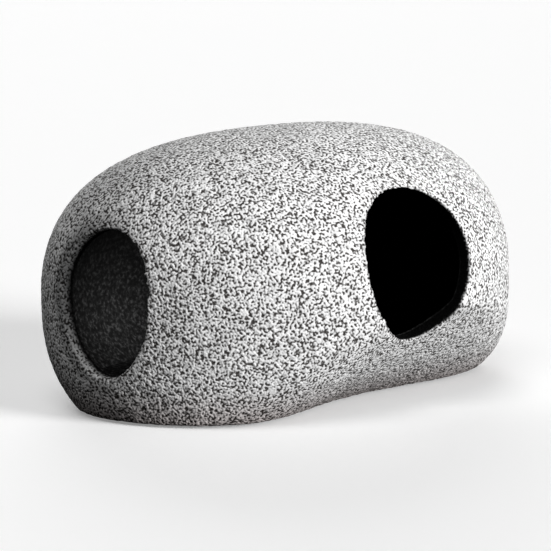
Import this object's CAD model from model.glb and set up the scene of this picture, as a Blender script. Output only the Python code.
"""A hollow river stone for small fish to hide in, cast in resin and coated with granite grains.

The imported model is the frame: its two resin shells, their bond lines and the dark coat in the
cavity stay and are given their finishes. Its plain outer coat is replaced by a granular skin
with soft lips round the mouths. Sizes are in metres, +X along the stone and -Y its front.
"""

import logging
import math
from dataclasses import dataclass, field
from enum import Enum

import bmesh
import bpy
import numpy as np
from mathutils import Matrix, Vector, noise


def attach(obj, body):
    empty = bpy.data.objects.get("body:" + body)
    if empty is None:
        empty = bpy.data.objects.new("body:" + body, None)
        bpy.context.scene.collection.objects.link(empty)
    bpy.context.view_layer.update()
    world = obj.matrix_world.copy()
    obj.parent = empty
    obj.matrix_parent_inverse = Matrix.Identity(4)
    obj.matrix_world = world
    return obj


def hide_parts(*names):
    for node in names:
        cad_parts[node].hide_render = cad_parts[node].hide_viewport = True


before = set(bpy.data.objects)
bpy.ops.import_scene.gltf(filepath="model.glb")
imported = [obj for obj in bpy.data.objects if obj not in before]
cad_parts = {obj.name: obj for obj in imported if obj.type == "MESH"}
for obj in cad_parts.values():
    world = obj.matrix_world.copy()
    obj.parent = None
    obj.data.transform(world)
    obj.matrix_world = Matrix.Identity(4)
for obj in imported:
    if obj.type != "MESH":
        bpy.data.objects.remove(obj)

MM = 0.001
LOG = logging.getLogger("river_stone")
OVERSPRAY = "overspray"         # how much of the dark coat lies on the granite, from 0 to 1
PLANE_TOLERANCE = 0.0001 * MM   # a point this near a cutting plane lies on it
UP = Vector((0, 0, 1))
WHITE = (1.0, 1.0, 1.0, 1.0)


class Slot(Enum):
    """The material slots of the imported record."""

    RESIN = "resin"
    ADHESIVE = "adhesive"
    GRANITE = "granite"
    DARK_COAT = "dark_coat"


class Join(Enum):
    """How one closed mesh is combined with another."""

    CUT = "DIFFERENCE"
    ADD = "UNION"


# ---- mesh helpers -----------------------------------------------------------------
def object_from(shape: bmesh.types.BMesh, name: str) -> bpy.types.Object:
    """Turns a bmesh into a linked object and frees it.

    Args:
        shape: The finished bmesh, in metres and in place.
        name: The object's name.

    Returns:
        The new object, at the origin.
    """
    mesh = bpy.data.meshes.new(name)
    shape.to_mesh(mesh)
    shape.free()
    piece = bpy.data.objects.new(name, mesh)
    bpy.context.scene.collection.objects.link(piece)
    return piece


def discard(*pieces: bpy.types.Object) -> None:
    """Removes scratch objects with their meshes.

    Args:
        pieces: The objects, each with a mesh of its own.
    """
    for piece in pieces:
        mesh = piece.data
        bpy.data.objects.remove(piece)
        bpy.data.meshes.remove(mesh)


def bake_modifiers(piece: bpy.types.Object) -> None:
    """Applies a piece's modifiers to its mesh.

    Args:
        piece: The object, which keeps its name and loses its modifiers.
    """
    depsgraph = bpy.context.evaluated_depsgraph_get()
    before = piece.data
    piece.data = bpy.data.meshes.new_from_object(piece.evaluated_get(depsgraph))
    piece.modifiers.clear()
    piece.data.name = before.name
    bpy.data.meshes.remove(before)


def combine(target: bpy.types.Object, tool: bpy.types.Object, join: Join) -> None:
    """Joins or cuts one closed mesh with another, and discards the tool.

    Args:
        target: The object whose mesh is changed.
        tool: The object to join on or cut away.
        join: Whether it is added or cut away.
    """
    modifier = target.modifiers.new("combine", "BOOLEAN")
    modifier.operation = join.value
    modifier.solver = "EXACT"
    modifier.object = tool
    bake_modifiers(target)
    discard(tool)


def raise_faces(shape: bmesh.types.BMesh, vector: Vector) -> None:
    """Raises flat faces into a closed prism.

    Args:
        shape: A bmesh that holds only the flat faces.
        vector: Which way and how far they are raised.
    """
    raised = bmesh.ops.extrude_face_region(shape, geom=shape.faces[:])["geom"]
    far = [item for item in raised if isinstance(item, bmesh.types.BMVert)]
    bmesh.ops.translate(shape, verts=far, vec=vector)
    bmesh.ops.recalc_face_normals(shape, faces=shape.faces[:])


def heal(piece: bpy.types.Object, distance: float) -> None:
    """Leaves a cut mesh closed: merges points that all but meet, and drops flaps and loose edges.

    Args:
        piece: The object whose mesh is healed.
        distance: Points nearer than this become one.
    """
    shape = bmesh.new()
    shape.from_mesh(piece.data)
    bmesh.ops.triangulate(shape, faces=shape.faces[:])
    bmesh.ops.remove_doubles(shape, verts=shape.verts[:], dist=distance)
    bmesh.ops.dissolve_degenerate(shape, edges=shape.edges[:], dist=distance)
    flaps = [face for face in shape.faces if any(edge.is_boundary for edge in face.edges)]
    bmesh.ops.delete(shape, geom=flaps, context="FACES")
    loose = [edge for edge in shape.edges if edge.is_wire]
    bmesh.ops.delete(shape, geom=loose, context="EDGES")
    open_edges = sum(not edge.is_manifold for edge in shape.edges)
    LOG.info("%s: %d open edges after healing", piece.name, open_edges)
    shape.to_mesh(piece.data)
    shape.free()


# ---- the stone's form -------------------------------------------------------------
@dataclass(frozen=True)
class StoneForm:
    """A smooth river stone: a crown above the parting line and a boxier base below it.

    Every length is in metres. The waves are shares of the keel's depth, as cosine and sine
    of one, two and three waves round the stone: they leave feet and an arch at the front.
    """

    length: float = 120 * MM
    width: float = 85 * MM
    crown_rise: float = 36 * MM
    base_drop: float = 26 * MM
    keel_drop: float = 30 * MM
    forward_shift: float = 1.45 * MM
    crown_exponent: float = 2.1
    base_exponent: float = 3.8
    base_exponent_growth: float = 1.0
    crown_flare: float = 0.05
    crown_saddle: float = 0.17
    crown_pitch: float = 0.01
    plan_lobe: float = 0.035
    underside_waves: tuple[tuple[float, float], ...] = ((-0.19, 0.22), (0.33, 0.255), (0.0, -0.15))

    def middle(self) -> tuple[float, float, float]:
        """The stone's middle, on the parting line."""
        return (0.0, self.forward_shift, self.base_drop)

    def underside(self, turn: np.ndarray, spread: np.ndarray) -> np.ndarray:
        """The keel's depth round the stone.

        Args:
            turn: Angles round the stone from +X.
            spread: Distances from the middle, as shares of the rim's.

        Returns:
            Depths as shares of keel_drop.
        """
        waves = np.zeros_like(turn)
        for count, (cosine, sine) in enumerate(self.underside_waves, start=1):
            waves += cosine * np.cos(count * turn) + sine * np.sin(count * turn)
        return 1.0 + spread**2 * waves

    def surface(self, direction: np.ndarray, inset: float) -> np.ndarray:
        """Points of the stone's surface before it is sanded flat.

        Args:
            direction: Unit directions from the stone's middle, one row each.
            inset: How far inside the outer surface the points lie.

        Returns:
            One point for each direction.
        """
        plan = np.hypot(direction[:, 0], direction[:, 1])
        rise = direction[:, 2]
        turn = np.arctan2(direction[:, 1], direction[:, 0])
        base = self.base_exponent + self.base_exponent_growth * direction[:, 0]
        exponent = np.where(rise < 0.0, base, self.crown_exponent)
        reach = (plan**exponent + np.abs(rise) ** exponent) ** (-1.0 / exponent)
        unit = direction * reach[:, None]
        up, down = np.maximum(unit[:, 2], 0.0), np.maximum(-unit[:, 2], 0.0)
        lobe = 1.0 + self.plan_lobe * np.sin(3.0 * turn)
        half_length = self.length / 2 * lobe * (1.0 + self.crown_flare * up**2)
        half_width = self.width / 2 * lobe
        saddle = self.crown_pitch * unit[:, 0] + self.crown_saddle * unit[:, 0] ** 2
        crown = self.crown_rise * (1.0 + saddle)
        keel = self.keel_drop * self.underside(turn, np.hypot(unit[:, 0], unit[:, 1]))
        return np.column_stack((
            unit[:, 0] * (half_length - inset),
            unit[:, 1] * (half_width - inset) + self.forward_shift,
            up * (crown - inset) - down * (keel - inset) + self.base_drop,
        ))

    def solid(self, name: str, inset: float, floor: float, subdivisions: int) -> bpy.types.Object:
        """Makes the closed stone, set in from outside and cut flat below.

        Args:
            name: The object's name.
            inset: How far it is set in.
            floor: Height of the flat cut.
            subdivisions: How finely the starting sphere is divided.

        Returns:
            The stone, closed all round.
        """
        shape = bmesh.new()
        bmesh.ops.create_icosphere(shape, subdivisions=subdivisions, radius=1.0)
        direction = np.array([vert.co.normalized() for vert in shape.verts])
        for vert, place in zip(shape.verts, self.surface(direction, inset)):
            vert.co = place
        bmesh.ops.bisect_plane(
            shape,
            geom=shape.verts[:] + shape.edges[:] + shape.faces[:],
            dist=PLANE_TOLERANCE,
            plane_co=(0, 0, floor),
            plane_no=UP,
            clear_inner=True,
        )
        rim = [edge for edge in shape.edges if edge.is_boundary]
        bmesh.ops.holes_fill(shape, edges=rim)
        bmesh.ops.recalc_face_normals(shape, faces=shape.faces[:])
        return object_from(shape, name)


@dataclass(frozen=True)
class Mouth:
    """One opening: an egg on an upright plane, driven straight through the wall.

    heading is the way it faces, in degrees from the front towards +X. along and up place its
    middle, to the right of the origin and above the parting line. egg is how much its top is
    the wider, and tilt turns it in its own plane, in degrees.

    The dark coat starts spray_start behind the stone's surface and is full after spray_fade
    more. Some of it drifts out over the lip's left side, seen from outside: drift is how much
    at the edge, and it is gone drift_reach from there. The lip gets lip_rounds more rounds of
    smoothing than the rest, out to lip_reach from the opening. Below the opening its taper
    stops at least_taper.
    """

    name: str
    heading: float
    along: float
    up: float
    width: float
    height: float
    egg: float
    tilt: float
    spray_start: float
    spray_fade: float
    lip_rounds: int
    drift: float
    drift_reach: float = 4.0 * MM
    lip_reach: float = 5 * MM
    least_taper: float = 0.5
    start: float = 15 * MM
    reach: float = 80 * MM
    segments: int = 96

    def facing(self) -> Vector:
        """The direction that the mouth faces."""
        turn = math.radians(self.heading)
        return Vector((math.sin(turn), -math.cos(turn), 0.0))

    def side(self) -> Vector:
        """The direction to the right, seen from outside."""
        return UP.cross(self.facing())

    def across(self, place: Vector) -> float:
        """How far a point lies to the right of the opening's middle."""
        return place.dot(self.side()) - self.along

    def drifted(self, place: Vector, parting: float) -> float:
        """How much of the dark coat has drifted out to a point of the lip.

        Args:
            place: The point.
            parting: Height of the parting line.

        Returns:
            The share, from 0 to 1, most on the lip's left side.
        """
        near = 1.0 - max(self.outside(place, parting), 0.0) / self.drift_reach
        left = 0.5 - self.across(place) / self.width
        return self.drift * min(max(near, 0.0), 1.0) * min(max(left, 0.0), 1.0)

    def outside(self, place: Vector, parting: float) -> float:
        """How far a point lies outside the opening, in the opening's own plane.

        Args:
            place: The point.
            parting: Height of the parting line.

        Returns:
            The distance in metres, below 0 inside the opening.
        """
        across, upright = self.across(place), place.z - parting - self.up
        tilt = math.radians(self.tilt)
        out = across * math.cos(tilt) + upright * math.sin(tilt)
        high = (upright * math.cos(tilt) - across * math.sin(tilt)) / (self.height / 2)
        wide = max(1.0 + self.egg * high, self.least_taper) * self.width / 2
        return (math.hypot(out / wide, high) - 1.0) * self.width / 2

    def lip_share(self, place: Vector, parting: float) -> float:
        """How much of the lip's own smoothing a point gets.

        Args:
            place: The point.
            parting: Height of the parting line.

        Returns:
            The share: 1 out to half of lip_reach from the opening, falling to 0 at lip_reach,
            and 0 nearer to the stone's middle than start.
        """
        if place.dot(self.facing()) <= self.start:
            return 0.0
        far = self.outside(place, parting)
        return min(1.0, max(0.0, 2.0 - 2.0 * far / self.lip_reach))

    def cutter(self, grow: float, parting: float) -> bpy.types.Object:
        """Makes the prism that opens the mouth.

        Args:
            grow: How much larger than the mouth it is, all round.
            parting: Height of the parting line, which up is measured from.

        Returns:
            The closed prism.
        """
        tilt = math.radians(self.tilt)
        facing, side = self.facing(), self.side()
        half_width, half_height = self.width / 2 + grow, self.height / 2 + grow
        middle = facing * self.start + side * self.along + Vector((0, 0, parting + self.up))
        shape = bmesh.new()
        bmesh.ops.create_circle(shape, cap_ends=True, segments=self.segments, radius=1.0)
        for vert in shape.verts:
            out = half_width * vert.co.x * (1.0 + self.egg * vert.co.y)
            high = half_height * vert.co.y
            across = out * math.cos(tilt) - high * math.sin(tilt)
            upright = out * math.sin(tilt) + high * math.cos(tilt)
            vert.co = middle + side * across + Vector((0, 0, upright))
        raise_faces(shape, facing * self.reach)
        return object_from(shape, f"{self.name}_cutter")


@dataclass(frozen=True)
class Foot:
    """One sanded foot: an ellipse under the base, turned by degrees.

    The opening that it comes through reaches below and above the resting plane.
    """

    x: float
    y: float
    length: float
    width: float
    turn: float
    below: float = 1.0 * MM
    above: float = 2.0 * MM
    segments: int = 64

    def cutter(self) -> bpy.types.Object:
        """Makes the upright prism that lets the foot through the coat.

        Returns:
            The closed prism.
        """
        shape = bmesh.new()
        bmesh.ops.create_circle(shape, cap_ends=True, segments=self.segments, radius=0.5)
        place = Matrix.Translation((self.x, self.y, -self.below))
        place @= Matrix.Rotation(math.radians(self.turn), 4, "Z")
        place @= Matrix.Diagonal((self.length, self.width, 1.0, 1.0))
        bmesh.ops.transform(shape, matrix=place, verts=shape.verts[:])
        raise_faces(shape, Vector((0, 0, self.below + self.above)))
        return object_from(shape, "foot_cutter")


# ---- finishes ---------------------------------------------------------------------
Colour = tuple[float, float, float]
Stops = tuple[tuple[float, Colour], ...]


def grey(value: float) -> Colour:
    """A neutral linear colour."""
    return (value, value, value)


class Recipe:
    """A material under construction, with short calls for its nodes."""

    def __init__(self, name: str) -> None:
        """Starts a material that holds one Principled shader.

        Args:
            name: The material's name.
        """
        self.material = bpy.data.materials.new(name)
        self.material.use_nodes = True
        self.nodes = self.material.node_tree.nodes
        self.links = self.material.node_tree.links
        self.shader = self.nodes["Principled BSDF"]
        self.place = self.nodes.new("ShaderNodeTexCoord").outputs["Object"]

    def link(self, output: bpy.types.NodeSocket, target: bpy.types.NodeSocket) -> None:
        """Joins two sockets."""
        self.links.new(output, target)

    def noise(
        self,
        size: float,
        detail: float = 2.0,
        roughness: float = 0.5,
        stretch: tuple[float, float, float] = (1.0, 1.0, 1.0),
        turn: tuple[float, float, float] = (0.0, 0.0, 0.0),
    ) -> bpy.types.NodeSocket:
        """Adds a noise pattern.

        Args:
            size: Width of its features, in metres.
            detail: How many finer layers it has.
            roughness: How strong the finer layers are.
            stretch: Scales of the pattern along X, Y and Z.
            turn: Turns of the pattern about X, Y and Z, in radians.

        Returns:
            The noise's value, from 0 to 1.
        """
        mapping = self.nodes.new("ShaderNodeMapping")
        mapping.inputs["Scale"].default_value = stretch
        mapping.inputs["Rotation"].default_value = turn
        self.link(self.place, mapping.inputs["Vector"])
        node = self.nodes.new("ShaderNodeTexNoise")
        node.inputs["Scale"].default_value = 1.0 / size
        node.inputs["Detail"].default_value = detail
        node.inputs["Roughness"].default_value = roughness
        self.link(mapping.outputs["Vector"], node.inputs["Vector"])
        return node.outputs["Fac"]

    def cells(self, size: float) -> bpy.types.NodeSocket:
        """Adds a pattern of cells.

        Args:
            size: About how wide each cell is, in metres.

        Returns:
            The distance from the middle of each cell, in cells.
        """
        node = self.nodes.new("ShaderNodeTexVoronoi")
        node.inputs["Scale"].default_value = 1.0 / size
        self.link(self.place, node.inputs["Vector"])
        return node.outputs["Distance"]

    def average(
        self, first: bpy.types.NodeSocket, second: bpy.types.NodeSocket, share: float
    ) -> bpy.types.NodeSocket:
        """Averages two values.

        Args:
            first: The first value.
            second: The second value.
            share: The second's share, from 0 to 1.

        Returns:
            The average.
        """
        node = self.nodes.new("ShaderNodeMix")
        node.data_type = "FLOAT"
        node.inputs["Factor"].default_value = share
        self.link(first, node.inputs["A"])
        self.link(second, node.inputs["B"])
        return node.outputs["Result"]

    def height(self, zero: float, one: float) -> bpy.types.NodeSocket:
        """Adds a value that runs from 0 at one height to 1 at another.

        Args:
            zero: The height where it is 0.
            one: The height where it is 1.

        Returns:
            The value, held at 0 and 1 outside them.
        """
        parts = self.nodes.new("ShaderNodeSeparateXYZ")
        self.link(self.place, parts.inputs["Vector"])
        node = self.nodes.new("ShaderNodeMapRange")
        node.inputs["From Min"].default_value = zero
        node.inputs["From Max"].default_value = one
        self.link(parts.outputs["Z"], node.inputs["Value"])
        return node.outputs["Result"]

    def attribute(self, name: str) -> bpy.types.NodeSocket:
        """Adds one of the mesh's own attributes.

        Args:
            name: The attribute's name.

        Returns:
            Its value.
        """
        node = self.nodes.new("ShaderNodeAttribute")
        node.attribute_name = name
        return node.outputs["Fac"]

    def blend(
        self, factor: bpy.types.NodeSocket, first: bpy.types.NodeSocket, second: bpy.types.NodeSocket
    ) -> bpy.types.NodeSocket:
        """Blends two colours by a value.

        Args:
            factor: 0 for the first colour, 1 for the second.
            first: The first colour.
            second: The second colour.

        Returns:
            The blended colour.
        """
        node = self.nodes.new("ShaderNodeMix")
        node.data_type = "RGBA"
        self.link(factor, node.inputs["Factor"])
        self.link(first, node.inputs["A"])
        self.link(second, node.inputs["B"])
        return node.outputs["Result"]

    def ramp(self, source: bpy.types.NodeSocket, stops: Stops) -> bpy.types.NodeSocket:
        """Adds a colour ramp.

        Args:
            source: The value that picks the colour.
            stops: Positions with their linear colours.

        Returns:
            The ramp's colour.
        """
        node = self.nodes.new("ShaderNodeValToRGB")
        elements = node.color_ramp.elements
        while len(elements) < len(stops):
            elements.new(0.5)   # each is put in its own place below
        for element, (position, colour) in zip(elements, stops):
            element.position = position
            element.color = (*colour, 1.0)
        self.link(source, node.inputs["Fac"])
        return node.outputs["Color"]

    def multiply(self, first: bpy.types.NodeSocket, second: bpy.types.NodeSocket) -> bpy.types.NodeSocket:
        """Multiplies two colours.

        Args:
            first: The first colour.
            second: The second colour.

        Returns:
            The product.
        """
        node = self.nodes.new("ShaderNodeMix")
        node.data_type = "RGBA"
        node.blend_type = "MULTIPLY"
        node.inputs["Factor"].default_value = 1.0
        self.link(first, node.inputs["A"])
        self.link(second, node.inputs["B"])
        return node.outputs["Result"]

    def bump(self, height: bpy.types.NodeSocket, depth: float) -> bpy.types.NodeSocket:
        """Adds relief.

        Args:
            height: The height, from 0 to 1.
            depth: What a height of 1 is, in metres.

        Returns:
            The turned normal.
        """
        node = self.nodes.new("ShaderNodeBump")
        node.inputs["Distance"].default_value = depth
        self.link(height, node.inputs["Height"])
        return node.outputs["Normal"]

    def finish(
        self, colour: bpy.types.NodeSocket, normal: bpy.types.NodeSocket, roughness: float, specular: float
    ) -> bpy.types.Material:
        """Joins the shader up.

        Args:
            colour: The base colour.
            normal: The turned normal.
            roughness: How matt it is.
            specular: How strong its gloss is.

        Returns:
            The finished material.
        """
        self.link(colour, self.shader.inputs["Base Color"])
        self.link(normal, self.shader.inputs["Normal"])
        self.shader.inputs["Roughness"].default_value = roughness
        self.shader.inputs["Specular IOR Level"].default_value = specular
        return self.material


@dataclass(frozen=True)
class GraniteFinish:
    """Pale grains of stone bonded close together, with dark gaps and dark grains.

    Two grains of noise, one turned against the other, make the speckle. Where the overspray
    lies, the dark coat shows instead. The lowest part of the stone is a little grimy.
    """

    grain: float = 0.60 * MM
    fine_grain: float = 0.51 * MM
    fine_turn: tuple[float, float, float] = (0.6, 0.4, 0.9)
    fine_share: float = 0.5
    patch: float = 5.0 * MM
    patch_detail: float = 3.0
    grime_top: float = 10.0 * MM
    grime_bottom: float = 1.0 * MM
    depth: float = 0.38 * MM
    roughness: float = 0.85
    specular: float = 0.08
    speckle: Stops = (
        (0.355, (0.056, 0.051, 0.048)),
        (0.425, (0.19, 0.183, 0.179)),
        (0.47, grey(0.50)),
        (0.515, grey(0.84)),
        (0.60, grey(0.99)),
    )
    patches: Stops = ((0.3, grey(0.82)), (0.7, grey(1.0)))
    grime: Stops = ((0.0, grey(1.0)), (1.0, (0.58, 0.53, 0.52)))
    sprayed: Stops = ((0.45, grey(0.0008)), (0.62, grey(0.0025)))

    def material(self) -> bpy.types.Material:
        """Makes the material.

        Returns:
            The granular coat.
        """
        recipe = Recipe("granite_grains")
        coarse = recipe.noise(self.grain, detail=0.0)
        fine = recipe.noise(self.fine_grain, detail=0.0, turn=self.fine_turn)
        gaps = recipe.average(coarse, fine, self.fine_share)
        patches = recipe.ramp(recipe.noise(self.patch, detail=self.patch_detail), self.patches)
        grime = recipe.ramp(recipe.height(self.grime_top, self.grime_bottom), self.grime)
        bare = recipe.multiply(recipe.multiply(recipe.ramp(gaps, self.speckle), patches), grime)
        dark = recipe.ramp(gaps, self.sprayed)
        colour = recipe.blend(recipe.attribute(OVERSPRAY), bare, dark)
        return recipe.finish(colour, recipe.bump(gaps, self.depth), self.roughness, self.specular)


@dataclass(frozen=True)
class DarkCoatFinish:
    """A thin matt coat, nearly black, with more pale grains caught in it low in the cavity."""

    grain: float = 0.9 * MM
    grain_detail: float = 2.0
    grain_roughness: float = 0.6
    dust_low: float = 10 * MM
    dust_high: float = 36 * MM
    depth: float = 0.15 * MM
    roughness: float = 0.9
    specular: float = 0.05
    bare: Stops = ((0.45, grey(0.004)), (0.65, grey(0.010)))
    dusty: Stops = ((0.42, grey(0.009)), (0.56, grey(0.024)), (0.68, grey(0.065)))

    def material(self) -> bpy.types.Material:
        """Makes the material.

        Returns:
            The cavity's coat.
        """
        recipe = Recipe("dark_cavity_coat")
        grains = recipe.noise(self.grain, self.grain_detail, self.grain_roughness)
        low = recipe.height(self.dust_high, self.dust_low)
        colour = recipe.blend(low, recipe.ramp(grains, self.bare), recipe.ramp(grains, self.dusty))
        return recipe.finish(colour, recipe.bump(grains, self.depth), self.roughness, self.specular)


@dataclass(frozen=True)
class ResinFinish:
    """Stone-filled resin, warm grey and mottled, with the sanding marks of its feet."""

    mottle: float = 3.0 * MM
    mottle_detail: float = 5.0
    mottle_roughness: float = 0.6
    scratch: float = 0.5 * MM
    scratch_stretch: tuple[float, float, float] = (0.06, 1.0, 1.0)
    depth: float = 0.04 * MM
    roughness: float = 0.7
    specular: float = 0.3
    tones: Stops = ((0.3, (0.17, 0.16, 0.15)), (0.7, (0.27, 0.255, 0.24)))
    wear: Stops = ((0.4, grey(0.82)), (0.62, grey(1.15)))

    def material(self) -> bpy.types.Material:
        """Makes the material.

        Returns:
            The cast resin.
        """
        recipe = Recipe("cast_resin")
        mottle = recipe.noise(self.mottle, self.mottle_detail, self.mottle_roughness)
        marks = recipe.noise(self.scratch, stretch=self.scratch_stretch)
        colour = recipe.multiply(recipe.ramp(mottle, self.tones), recipe.ramp(marks, self.wear))
        return recipe.finish(colour, recipe.bump(marks, self.depth), self.roughness, self.specular)


@dataclass(frozen=True)
class AdhesiveFinish:
    """Cured adhesive, dull amber, with small trapped bubbles."""

    bubble: float = 0.5 * MM
    depth: float = 0.05 * MM
    roughness: float = 0.5
    specular: float = 0.4
    tones: Stops = ((0.1, (0.42, 0.36, 0.24)), (0.5, (0.60, 0.54, 0.42)))

    def material(self) -> bpy.types.Material:
        """Makes the material.

        Returns:
            The adhesive.
        """
        recipe = Recipe("cured_adhesive")
        bubbles = recipe.cells(self.bubble)
        colour = recipe.ramp(bubbles, self.tones)
        return recipe.finish(colour, recipe.bump(bubbles, self.depth), self.roughness, self.specular)


@dataclass(frozen=True)
class FloorFinish:
    """Pale matt paper with a faint glow, which makes it nearly white."""

    grain: float = 2 * MM
    grain_detail: float = 3.0
    glow: float = 0.24
    depth: float = 0.02 * MM
    roughness: float = 0.9
    specular: float = 0.1
    tones: Stops = ((0.2, grey(0.80)), (0.8, grey(0.84)))

    def material(self) -> bpy.types.Material:
        """Makes the material.

        Returns:
            The floor's paper.
        """
        recipe = Recipe("floor_paper")
        grain = recipe.noise(self.grain, self.grain_detail)
        recipe.shader.inputs["Emission Color"].default_value = WHITE
        recipe.shader.inputs["Emission Strength"].default_value = self.glow
        colour = recipe.ramp(grain, self.tones)
        return recipe.finish(colour, recipe.bump(grain, self.depth), self.roughness, self.specular)


# The finish that each slot gets.
FINISHES: dict[Slot, ResinFinish | AdhesiveFinish | GraniteFinish | DarkCoatFinish] = {
    Slot.RESIN: ResinFinish(),
    Slot.ADHESIVE: AdhesiveFinish(),
    Slot.GRANITE: GraniteFinish(),
    Slot.DARK_COAT: DarkCoatFinish(),
}


# ---- the sub-assemblies -----------------------------------------------------------
def dress(piece: bpy.types.Object, material: bpy.types.Material) -> None:
    """Gives a piece one material."""
    piece.data.materials.clear()
    piece.data.materials.append(material)


@dataclass
class CastShells:
    """The two cast halves of the wall and the adhesive between them, kept from the frame."""

    shells: tuple[str, ...] = ("upper_shell", "lower_shell")
    bonds: tuple[str, ...] = ("bond_front", "bond_back")

    def build(self) -> list[bpy.types.Object]:
        """Dresses the frame's shells and bond lines.

        Returns:
            The dressed pieces.
        """
        for slot, names in ((Slot.RESIN, self.shells), (Slot.ADHESIVE, self.bonds)):
            material = FINISHES[slot].material()
            for name in names:
                dress(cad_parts[name], material)
        return [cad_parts[name] for name in self.shells + self.bonds]


@dataclass
class CavityCoat:
    """The dark coat in the cavity, kept from the frame."""

    node: str = "cavity_coat"

    def build(self) -> list[bpy.types.Object]:
        """Dresses the frame's cavity coat.

        Returns:
            The dressed piece.
        """
        dress(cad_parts[self.node], FINISHES[Slot.DARK_COAT].material())
        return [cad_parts[self.node]]


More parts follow.
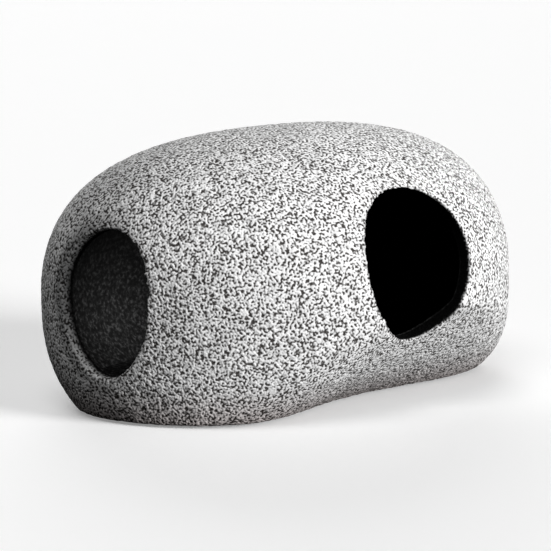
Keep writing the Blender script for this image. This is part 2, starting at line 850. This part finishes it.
@dataclass
class GraniteSkin:
    """The granular outer coat, with lips that roll softly into both mouths.

    coat, resin, foot_stand and floor_extra are the wall's thicknesses in the frame. The solid
    stone is rebuilt in even steps of voxel, and softened by softness lip_rounds times. Its
    relief is grain wide and relief high, sunk by relief_drop of that, so that it stays within
    the stone. There is no overspray below spray_floor, and its depth behind the surface is
    found in aiming_rounds. After the cuts, points nearer than heal_distance become one. fine
    and coarse are how often the starting spheres of the outer and inner sides are divided.
    """

    form: StoneForm = field(default_factory=StoneForm)
    mouths: tuple[Mouth, ...] = (
        Mouth(
            name="front_mouth",
            heading=0.0,
            along=6.3 * MM,
            up=7.8 * MM,
            width=30.8 * MM,
            height=33.2 * MM,
            egg=0.12,
            tilt=-12.0,
            spray_start=0.1 * MM,
            spray_fade=0.5 * MM,
            lip_rounds=0,
            drift=0.0,
        ),
        Mouth(
            name="side_mouth",
            heading=-86.0,
            along=1.9 * MM,
            up=0.9 * MM,
            width=22.0 * MM,
            height=32.6 * MM,
            egg=0.11,
            tilt=5.5,
            spray_start=0.0,
            spray_fade=2.5 * MM,
            lip_rounds=7,
            drift=0.85,
        ),
    )
    feet: tuple[Foot, ...] = (
        Foot(x=-38 * MM, y=0.0, length=18 * MM, width=30 * MM, turn=8.0),
        Foot(x=40 * MM, y=6 * MM, length=18 * MM, width=20 * MM, turn=0.0),
        Foot(x=10 * MM, y=24 * MM, length=30 * MM, width=12 * MM, turn=4.0),
    )
    coat: float = 0.6 * MM
    resin: float = 2.4 * MM
    foot_stand: float = 0.4 * MM
    floor_extra: float = 2.0 * MM
    voxel: float = 0.64 * MM
    softness: float = 0.5
    lip_rounds: int = 7
    spray_floor: float = 6.0 * MM
    aiming_rounds: int = 12
    relief: float = 0.14 * MM
    relief_drop: float = 0.6
    grain: float = 1.3 * MM
    heal_distance: float = 0.01 * MM
    fine: int = 7
    coarse: int = 5

    def soften(self, block: bpy.types.Object, rounds: int, group: str = "") -> None:
        """Adds rounds of smoothing to the stone.

        Args:
            block: The stone.
            rounds: How many.
            group: The vertex group that they are kept to, if any.
        """
        modifier = block.modifiers.new("soften", "SMOOTH")
        modifier.factor = self.softness
        modifier.iterations = rounds
        modifier.vertex_group = group

    def block(self) -> bpy.types.Object:
        """Makes the solid stone with both mouths drilled in and its edges softened.

        Returns:
            The stone, not yet hollow.
        """
        block = self.form.solid("granite_skin", 0.0, self.foot_stand, self.fine)
        for mouth in self.mouths:
            combine(block, mouth.cutter(0.0, self.form.base_drop), Join.CUT)
        remesh = block.modifiers.new("even", "REMESH")
        remesh.mode = "VOXEL"
        remesh.voxel_size = self.voxel
        self.soften(block, self.lip_rounds)
        bake_modifiers(block)
        for mouth in self.mouths:
            if mouth.lip_rounds:
                self.round_lip(block, mouth)
        return block

    def round_lip(self, block: bpy.types.Object, mouth: Mouth) -> None:
        """Smooths the surface round one opening further.

        Args:
            block: The stone.
            mouth: The opening.
        """
        lip = block.vertex_groups.new(name=f"{mouth.name}_lip")
        for vert in block.data.vertices:
            share = mouth.lip_share(vert.co, self.form.base_drop)
            if share:
                lip.add([vert.index], share, "REPLACE")
        self.soften(block, mouth.lip_rounds, lip.name)
        bake_modifiers(block)
        block.vertex_groups.clear()

    def core(self) -> bpy.types.Object:
        """Makes what lies behind the coat.

        Returns:
            The resin wall and the cavity in one piece.
        """
        floor = self.foot_stand + self.coat
        core = self.form.solid("core", self.coat, floor, self.coarse)
        for mouth in self.mouths:
            combine(core, mouth.cutter(self.coat, self.form.base_drop), Join.CUT)
        depth = self.coat + self.resin
        cavity_floor = self.foot_stand + depth + self.floor_extra
        combine(core, self.form.solid("cavity", depth, cavity_floor, self.coarse), Join.ADD)
        return core

    def depth_behind(self, places: np.ndarray) -> np.ndarray:
        """How far points lie behind the stone's outer surface, along the line to its middle.

        Args:
            places: The points.

        Returns:
            Depths in metres, 0 on the outer surface.
        """
        middle = np.array(self.form.middle())
        ray = places - middle
        length = np.linalg.norm(ray, axis=1)
        guess = ray.copy()
        for _ in range(self.aiming_rounds):
            direction = guess / np.linalg.norm(guess, axis=1)[:, None]
            outer = self.form.surface(direction, 0.0) - middle
            hit = outer / np.linalg.norm(outer, axis=1)[:, None]
            guess = direction + (ray / length[:, None] - hit)
        outer[:, 2] = np.maximum(outer[:, 2], self.foot_stand - self.form.base_drop)
        return np.linalg.norm(outer, axis=1) - length

    def spray(self, skin: bpy.types.Object) -> None:
        """Marks how much of the dark coat reaches each point of the lips and mouths.

        Args:
            skin: The finished skin, which gets the overspray attribute.
        """
        mesh = skin.data
        places = np.empty(len(mesh.vertices) * 3)
        mesh.vertices.foreach_get("co", places)
        places = places.reshape(-1, 3)
        facings = np.array([mouth.facing() for mouth in self.mouths])
        nearest = np.argmax(places @ facings.T, axis=1)
        start = np.array([mouth.spray_start for mouth in self.mouths])[nearest]
        fade = np.array([mouth.spray_fade for mouth in self.mouths])[nearest]
        inside = np.clip((self.depth_behind(places) - start) / fade, 0.0, 1.0)
        drift = np.array([
            self.mouths[index].drifted(Vector(place), self.form.base_drop)
            for index, place in zip(nearest, places)
        ])
        amount = np.maximum(inside, drift) * (places[:, 2] > self.spray_floor)
        layer = mesh.attributes.new(OVERSPRAY, "FLOAT", "POINT")
        layer.data.foreach_set("value", amount.astype(np.float32))

    def roughen(self, skin: bpy.types.Object) -> None:
        """Gives the stone its granular relief.

        Args:
            skin: The solid stone.
        """
        shape = bmesh.new()
        shape.from_mesh(skin.data)
        shape.normal_update()
        offsets = [
            vert.normal * (self.relief * (noise.noise(vert.co / self.grain) - self.relief_drop))
            for vert in shape.verts
        ]
        for vert, offset in zip(shape.verts, offsets):
            vert.co += offset
        shape.to_mesh(skin.data)
        shape.free()

    def build(self) -> list[bpy.types.Object]:
        """Builds and dresses the skin.

        Returns:
            The skin.
        """
        skin = self.block()
        self.roughen(skin)
        combine(skin, self.core(), Join.CUT)
        for foot in self.feet:
            combine(skin, foot.cutter(), Join.CUT)
        heal(skin, self.heal_distance)
        self.spray(skin)
        for polygon in skin.data.polygons:
            polygon.use_smooth = True
        dress(skin, FINISHES[Slot.GRANITE].material())
        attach(skin, "root")
        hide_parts("granite_coat")
        return [skin]


# ---- the studio -------------------------------------------------------------------
def heading(around: float, above: float) -> Vector:
    """The direction from the stone to something that stands at these angles, in degrees."""
    a, e = math.radians(around), math.radians(above)
    return Vector((math.sin(a) * math.cos(e), -math.cos(a) * math.cos(e), math.sin(e)))


@dataclass(frozen=True)
class Lamp:
    """A distant soft light: where it comes from and how wide it is, in degrees, and how strong."""

    name: str
    around: float
    above: float
    strength: float
    softness: float

    def hang(self) -> None:
        """Adds the light."""
        light = bpy.data.lights.new(self.name, "SUN")
        light.energy = self.strength
        light.angle = math.radians(self.softness)
        lamp = bpy.data.objects.new(self.name, light)
        lamp.rotation_mode = "QUATERNION"
        lamp.rotation_quaternion = heading(self.around, self.above).to_track_quat("Z", "Y")
        bpy.context.scene.collection.objects.link(lamp)


@dataclass
class Studio:
    """A pale floor, soft lights and the camera.

    The camera stands distance from the stone's middle, around and above it by these degrees,
    and aims a little to the left of it and above it. lens and sensor are in millimetres. The
    sky is pale to the camera, but gives the stone little light.
    """

    form: StoneForm = field(default_factory=StoneForm)
    around: float = -36.45
    above: float = 9.86
    distance: float = 701 * MM
    lens: float = 196.3
    sensor: float = 36.0
    clip: float = 50.0
    aim_left: float = 2.95 * MM
    aim_up: float = 0.74 * MM
    floor_size: float = 12.0
    sky_light: float = 0.03
    sky_seen: float = 0.95
    lamps: tuple[Lamp, ...] = (
        Lamp(name="key", around=25.0, above=14.0, strength=4.35, softness=26.0),
        Lamp(name="overhead", around=-65.0, above=65.0, strength=1.1, softness=40.0),
        Lamp(name="behind", around=150.0, above=16.0, strength=1.8, softness=40.0),
    )

    def floor(self) -> None:
        """Lays the floor, which gives the stone no light from below."""
        shape = bmesh.new()
        bmesh.ops.create_grid(shape, x_segments=1, y_segments=1, size=self.floor_size / 2)
        floor = object_from(shape, "floor")
        dress(floor, FloorFinish().material())
        floor.visible_diffuse = False
        floor.visible_glossy = False

    def camera(self) -> None:
        """Sets up the camera."""
        data = bpy.data.cameras.new("camera")
        data.lens = self.lens
        data.sensor_width = self.sensor
        data.clip_end = self.clip
        camera = bpy.data.objects.new("camera", data)
        back = heading(self.around, self.above)
        right = UP.cross(back).normalized()
        up = back.cross(right)
        middle = Vector(self.form.middle())
        camera.location = middle + back * self.distance
        target = middle - right * self.aim_left + up * self.aim_up
        camera.rotation_mode = "QUATERNION"
        camera.rotation_quaternion = (target - camera.location).to_track_quat("-Z", "Y")
        bpy.context.scene.collection.objects.link(camera)
        bpy.context.scene.camera = camera

    def build(self) -> None:
        """Sets up the whole studio."""
        world = bpy.data.worlds.new("studio")
        world.use_nodes = True
        nodes, links = world.node_tree.nodes, world.node_tree.links
        nodes["Background"].inputs["Color"].default_value = WHITE
        seen = nodes.new("ShaderNodeMapRange")
        seen.inputs["To Min"].default_value = self.sky_light
        seen.inputs["To Max"].default_value = self.sky_seen
        links.new(nodes.new("ShaderNodeLightPath").outputs["Is Camera Ray"], seen.inputs["Value"])
        links.new(seen.outputs["Result"], nodes["Background"].inputs["Strength"])
        bpy.context.scene.world = world
        bpy.context.scene.view_settings.view_transform = "Standard"
        self.floor()
        for lamp in self.lamps:
            lamp.hang()
        self.camera()


def report(pieces: list[bpy.types.Object]) -> None:
    """Logs each piece's name and how many triangles it has.

    Args:
        pieces: The pieces of one sub-assembly.
    """
    for piece in pieces:
        piece.data.calc_loop_triangles()
        LOG.info("%s: %d triangles", piece.name, len(piece.data.loop_triangles))


def main() -> None:
    """Builds the stone and its studio, and writes how large the model is."""
    logging.basicConfig(level=logging.INFO, format="%(name)s: %(message)s")
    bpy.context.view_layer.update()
    for assembly in (CastShells(), CavityCoat(), GraniteSkin()):
        report(assembly.build())
    Studio().build()


if __name__ == "__main__":
    main()
